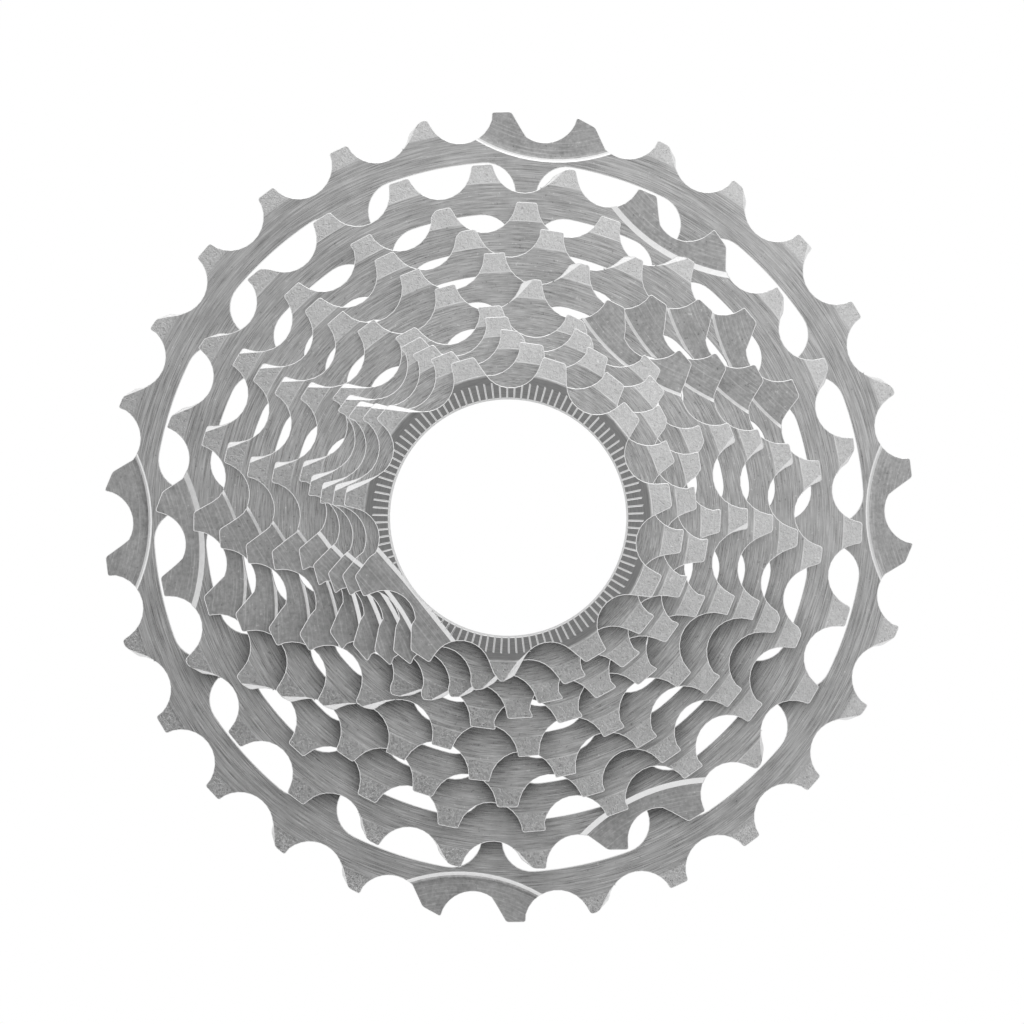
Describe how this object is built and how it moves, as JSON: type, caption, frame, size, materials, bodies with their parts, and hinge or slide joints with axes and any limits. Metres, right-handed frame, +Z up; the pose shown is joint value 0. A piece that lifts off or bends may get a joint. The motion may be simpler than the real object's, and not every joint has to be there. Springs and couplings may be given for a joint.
{
  "type": "cassette sprocket",
  "caption": "Stepped bicycle cassette: toothed steel rings of falling size on thin collars, with shift pockets, webbed windows, a plain hub bore and a grooved lockring seat.",
  "frame": {"origin": "centre of the rear register bore, in the plane of the largest ring's rear face", "axes": "+Y along the wheel axis from the smallest ring to the largest, towards the wheel; +Z up; seen from the front (looking along +Y) +X is to the right"},
  "size_m": [0.122, 0.039, 0.1226],
  "materials": {
    "sprocket_steel": "turned and milled faces with fine circular tool marks, satin, bright edges",
    "collar_steel": "turned satin",
    "pin_steel": "ground"
  },
  "bodies": {
    "root": {"sprocket_30t": "sprocket_steel", "sprocket_26t": "sprocket_steel", "sprocket_23t": "sprocket_steel", "sprocket_21t": "sprocket_steel", "sprocket_19t": "sprocket_steel", "sprocket_17t": "sprocket_steel", "sprocket_15t": "sprocket_steel", "sprocket_14t": "sprocket_steel", "sprocket_13t": "sprocket_steel", "sprocket_12t": "sprocket_steel", "sprocket_11t": "sprocket_steel", "collar_30_26": "collar_steel", "collar_26_23": "collar_steel", "collar_23_21": "collar_steel", "collar_21_19": "collar_steel", "collar_19_17": "collar_steel", "collar_17_15": "collar_steel", "collar_15_14": "collar_steel", "collar_14_13": "collar_steel", "collar_13_12": "collar_steel", "collar_12_11": "collar_steel", "pins_30_26": "pin_steel", "pins_26_23": "pin_steel", "pins_23_21": "pin_steel", "pins_21_19": "pin_steel", "pins_19_17": "pin_steel", "pins_17_15": "pin_steel", "pins_15_14": "pin_steel", "pins_14_13": "pin_steel", "pins_13_12": "pin_steel", "pins_12_11": "pin_steel"}
  },
  "joints": []
}
